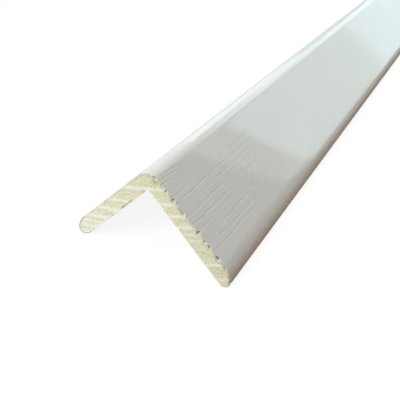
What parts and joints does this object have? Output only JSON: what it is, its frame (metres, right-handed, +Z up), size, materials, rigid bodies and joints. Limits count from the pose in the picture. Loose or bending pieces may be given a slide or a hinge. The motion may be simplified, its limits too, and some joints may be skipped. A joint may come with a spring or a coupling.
{
  "type": "corner guard moulding",
  "caption": "L-section timber corner guard with a rounded nose and eased leg tips, painted white on its show faces, that caps and protects an outside wall corner.",
  "frame": {"origin": "on the floor that the two leg tips rest on, midway between the tips and midway along the length", "axes": "+Y along the length, +Z up through the rounded nose, +X across from the left leg's tip to the right leg's tip"},
  "size_m": [0.0396, 1.22, 0.0223],
  "materials": {
    "painted_pine": "satin"
  },
  "bodies": {
    "root": {"corner_moulding": "painted_pine"}
  },
  "joints": []
}
